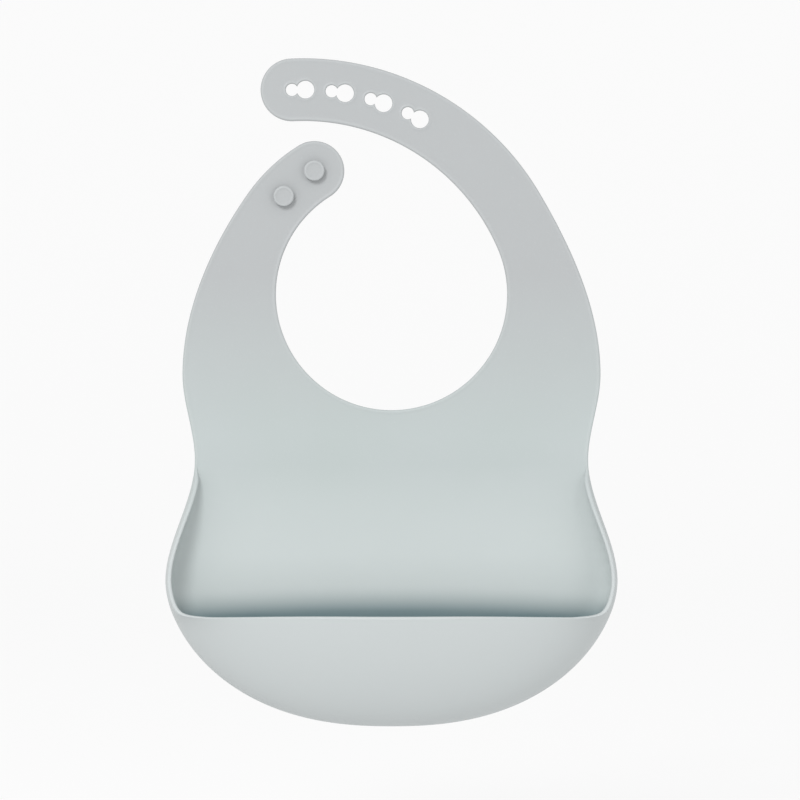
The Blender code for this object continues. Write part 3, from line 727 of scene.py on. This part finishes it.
def silicone(name, has_inside):
    """Matt moulded silicone with faint clouds, speckle and rubbed edges, painted shade up the straps, painted
    light down the pocket and, if it has one, a painted lighter inside with painted shade low in it.
    """
    material = bpy.data.materials.new(name)
    material.use_nodes = True
    tree = material.node_tree
    nodes, links = tree.nodes, tree.links
    shader = nodes["Principled BSDF"]
    shader.inputs["Specular IOR Level"].default_value = 0.42
    shader.inputs["IOR"].default_value = 1.41
    shader.inputs["Sheen Weight"].default_value = 0.08
    shader.inputs["Sheen Roughness"].default_value = 0.6

    def attribute(label):
        node = nodes.new("ShaderNodeAttribute")
        node.attribute_name = label
        return node.outputs

    place = attribute("place")["Vector"]
    rubbed = attribute("rubbed")["Fac"]

    def noise(scale, detail, roughness=0.5):
        node = nodes.new("ShaderNodeTexNoise")
        node.inputs["Scale"].default_value = scale
        node.inputs["Detail"].default_value = detail
        node.inputs["Roughness"].default_value = roughness
        links.new(place, node.inputs["Vector"])
        return node.outputs["Fac"]

    def ranged(source, low, high, to_low, to_high):
        node = nodes.new("ShaderNodeMapRange")
        for key, value in (("From Min", low), ("From Max", high), ("To Min", to_low), ("To Max", to_high)):
            node.inputs[key].default_value = value
        links.new(source, node.inputs["Value"])
        return node.outputs["Result"]

    def mixed(factor, a, b):
        """The colour a where the factor is 0 and b where it is 1. Either may be a socket."""
        node = nodes.new("ShaderNodeMix")
        node.data_type = "RGBA"
        links.new(factor, node.inputs[0])
        for value, socket in ((a, node.inputs[6]), (b, node.inputs[7])):
            if isinstance(value, tuple):
                socket.default_value = value
            else:
                links.new(value, socket)
        return node.outputs[2]

    split = nodes.new("ShaderNodeSeparateXYZ")
    links.new(place, split.inputs["Vector"])
    # Painted shade darkens the straps high up, and painted light lightens the pocket low down.
    high_up = ranged(split.outputs["Z"], *STRAP_COLOUR_FADE, 0.0, 1.0)
    cloudy = ranged(noise(scale=14.0, detail=3.0), 0.35, 0.65, 0.0, 1.0)
    body = mixed(cloudy, PANEL_COLOUR, MOTTLE_COLOUR)
    body = mixed(high_up, body, STRAP_PAINTED_SHADE_COLOUR)
    if has_inside:
        # deep holds the painted shade inside the pocket; its lowest values only mark the inside.
        deep = attribute("deep")["Fac"]
        # within picks the pocket's inside, which gets the painted light colour.
        within = ranged(deep, 0.0, INSIDE_LEVEL, 0.0, 1.0)
        low_down = ranged(split.outputs["Z"], *POCKET_COLOUR_FADE, 0.0, 1.0)
        body = mixed(low_down, body, mixed(within, POCKET_PAINTED_LIGHT_COLOUR, INSIDE_PAINTED_LIGHT_COLOUR))
    speckle = ranged(noise(scale=900.0, detail=2.0), 0.62, 0.80, 0.0, SPECKLE_AMOUNT)
    body = mixed(speckle, body, RUB_COLOUR)
    worn = ranged(rubbed, 0.0, 1.0, 0.0, WORN_AMOUNT)
    body = mixed(worn, body, RUB_COLOUR)
    # Painted shade inside the pocket, darkest just below the lip.
    if has_inside:
        body = mixed(ranged(deep, INSIDE_LEVEL, 1.0, 0.0, PAINTED_SHADE_AMOUNT), body, PAINTED_SHADE_COLOUR)
    links.new(body, shader.inputs["Base Color"])

    rough = nodes.new("ShaderNodeMath")
    rough.operation = "SUBTRACT"
    links.new(ranged(noise(scale=45.0, detail=4.0), 0.3, 0.7, *ROUGHNESS_RANGE), rough.inputs[0])
    links.new(ranged(rubbed, 0.0, 1.0, 0.0, WORN_SMOOTHER), rough.inputs[1])
    links.new(rough.outputs[0], shader.inputs["Roughness"])

    matt = nodes.new("ShaderNodeBump")
    matt.inputs["Strength"].default_value = 0.16
    matt.inputs["Distance"].default_value = 0.00006
    links.new(noise(scale=2600.0, detail=3.0, roughness=0.6), matt.inputs["Height"])
    wavy = nodes.new("ShaderNodeBump")
    wavy.inputs["Strength"].default_value = 0.25
    wavy.inputs["Distance"].default_value = 0.0004
    links.new(noise(scale=38.0, detail=2.0), wavy.inputs["Height"])
    links.new(matt.outputs["Normal"], wavy.inputs["Normal"])
    links.new(wavy.outputs["Normal"], shader.inputs["Normal"])
    return material


MATERIALS = {
    slot: silicone(f"{slot}_finish", has_inside=(slot == "pocket_silicone"))
    for slot in ("panel_silicone", "strap_silicone", "stud_silicone", "pocket_silicone")
}


def finished(obj, slot, *nodes):
    """Gives a piece the material made for its slot, and hides the CAD nodes that it stands for."""
    obj.data.materials.append(MATERIALS[slot])
    if nodes:
        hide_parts(*nodes)
    return obj


def bend_between(obj):
    """Bakes a strap piece's placement into its points."""
    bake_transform(obj)


EDGE_SHINE = edge_shine()
KEYHOLE_SHINE = edge_shine(KEYHOLE_PROFILE)


def edges(*names):
    return [edge_rows(section_rows(name)) for name in names]


chest = skin("chest_panel_skin", edges("neck", "chest_right", "chest_left"), CHEST_SPACING, EDGE_SHINE)
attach(finished(chest, "panel_silicone", "chest_panel"), "chest")

stud_a = skin("stud_strap_root_skin", edges("stud_a_inner", "stud_a_outer"), STRAP_SPACING, EDGE_SHINE)
finished(stud_a, "strap_silicone", "stud_strap_root")
bend_between(stud_a)

stud_b = skin("stud_strap_tip_skin", edges("stud_b"), STRAP_SPACING, EDGE_SHINE)
finished(stud_b, "strap_silicone", "stud_strap_tip")
bend_between(stud_b)

key_a = skin("keyhole_strap_root_skin", edges("key_a_inner", "key_a_outer"), STRAP_SPACING, EDGE_SHINE)
finished(key_a, "strap_silicone", "keyhole_strap_root")
key_b = skin("keyhole_strap_middle_skin", edges("key_b_inner", "key_b_outer"), STRAP_SPACING, EDGE_SHINE)
finished(key_b, "strap_silicone", "keyhole_strap_middle")
keyholes = [keyhole_rows(index) for index in range(KEYHOLE_COUNT)]
key_c = skin("keyhole_strap_tip_skin", edges("key_c"), KEYHOLE_STRAP_SPACING, EDGE_SHINE,
             keyholes, KEYHOLE_SHINE)
finished(key_c, "strap_silicone", "keyhole_strap_tip")
for number, piece in enumerate((key_a, key_b, key_c)):
    bend_between(piece)

waist = skin("waist_skin", edges("waist_right", "waist_left"), WAIST_SPACING, EDGE_SHINE)
finished(waist, "panel_silicone")
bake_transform(waist)

pocket = skin("pocket_skin", [pocket_rows(section_rows("pocket"))], POCKET_SPACING, pocket_shine(),
              hollow=pocket_depth)
finished(pocket, "pocket_silicone", "pocket_back", "pocket_side_left", "pocket_side_right",
         "pocket_front", "pocket_crease")
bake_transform(pocket)

for label, turned in (("upper", 0.0), ("lower", FASTENER_PITCH / STUD_STRAP_RADIUS)):
    button = stud(f"stud_{label}_skin", STUD_STRAP_END + turned)
    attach(finished(button, "stud_silicone", f"stud_{label}"), "stud_strap_tip")


# Stage, light and camera.

FLOOR_HEIGHT = -0.280
FLOOR_RINGS = (1.0, 2.2)
STAGE_RADIUS = 4.5
STAGE_CURVE = 1.2
STAGE_CURVE_STEPS = 16
STAGE_HEIGHT = 3.2
STAGE_SIDES = 96
PAPER_GREY = 0.16
PAPER_GLOW = 0.80
WORLD_STRENGTH = 0.85
LIGHT_AIM = (0.0, 0.0, -0.05)


def stage_surface():
    """A round pale floor whose rim curves up into a wall."""
    profile = [(radius, FLOOR_HEIGHT) for radius in FLOOR_RINGS]
    for k in range(STAGE_CURVE_STEPS + 1):
        turn = math.pi / 2 * k / STAGE_CURVE_STEPS
        profile.append((STAGE_RADIUS - STAGE_CURVE + STAGE_CURVE * math.sin(turn),
                        FLOOR_HEIGHT + STAGE_CURVE * (1 - math.cos(turn))))
    profile.append((STAGE_RADIUS, STAGE_HEIGHT))
    sides = STAGE_SIDES
    directions = [ray(math.tau * k / sides) for k in range(sides)]
    verts = [(0.0, 0.0, FLOOR_HEIGHT)]
    for radius, z in profile:
        verts += [(radius * x, radius * y, z) for x, y in directions]
    faces = [(0, 1 + k, 1 + (k + 1) % sides) for k in range(sides)]
    for ring in range(len(profile) - 1):
        a, b = 1 + ring * sides, 1 + (ring + 1) * sides
        faces += [(a + k, b + k, b + (k + 1) % sides, a + (k + 1) % sides) for k in range(sides)]
    data = bpy.data.meshes.new("studio_floor")
    data.from_pydata(verts, [], faces)
    data.shade_smooth()
    obj = bpy.data.objects.new("studio_floor", data)
    bpy.context.scene.collection.objects.link(obj)
    material = bpy.data.materials.new("studio_paper")
    material.use_nodes = True
    shader = material.node_tree.nodes["Principled BSDF"]
    shader.inputs["Base Color"].default_value = (PAPER_GREY, PAPER_GREY, PAPER_GREY, 1.0)
    shader.inputs["Roughness"].default_value = 1.0
    shader.inputs["Specular IOR Level"].default_value = 0.0
    shader.inputs["Emission Color"].default_value = (1.0, 1.0, 1.0, 1.0)
    shader.inputs["Emission Strength"].default_value = PAPER_GLOW
    data.materials.append(material)
    return obj


def soft_light(name, place, size, power):
    data = bpy.data.lights.new(name, "AREA")
    data.shape = "DISK"
    data.size = size
    data.energy = power
    obj = bpy.data.objects.new(name, data)
    obj.location = place
    obj.rotation_euler = (Vector(LIGHT_AIM) - Vector(place)).to_track_quat("-Z", "Y").to_euler()
    obj.visible_camera = False
    bpy.context.scene.collection.objects.link(obj)


stage_surface()
soft_light("key_light", place=(-1.0, -2.9, 1.4), size=1.2, power=54.0)
soft_light("fill_light", place=(1.6, -2.6, -0.1), size=1.6, power=12.0)

world = bpy.data.worlds.new("studio")
world.use_nodes = True
background = world.node_tree.nodes["Background"]
background.inputs["Color"].default_value = (1.0, 1.0, 1.0, 1.0)
background.inputs["Strength"].default_value = WORLD_STRENGTH
scene = bpy.context.scene
scene.world = world
scene.view_settings.view_transform = "Standard"

# The camera looks straight along +Y. VIEW_WIDTH is what it takes in at the bib, in metres.
CAMERA_LENS = 200.0
SENSOR_WIDTH = 36.0
VIEW_WIDTH = 0.400
VIEW_CENTRE = (0.00425, -0.05275)
camera_data = bpy.data.cameras.new("camera")
camera_data.lens = CAMERA_LENS
camera_data.sensor_width = SENSOR_WIDTH
camera_data.clip_start = 0.05
camera_data.clip_end = 40.0
camera = bpy.data.objects.new("camera", camera_data)
distance = VIEW_WIDTH * CAMERA_LENS / SENSOR_WIDTH
camera.location = (VIEW_CENTRE[0], -distance, VIEW_CENTRE[1])
camera.rotation_euler = (math.pi / 2, 0.0, 0.0)
scene.collection.objects.link(camera)
scene.camera = camera
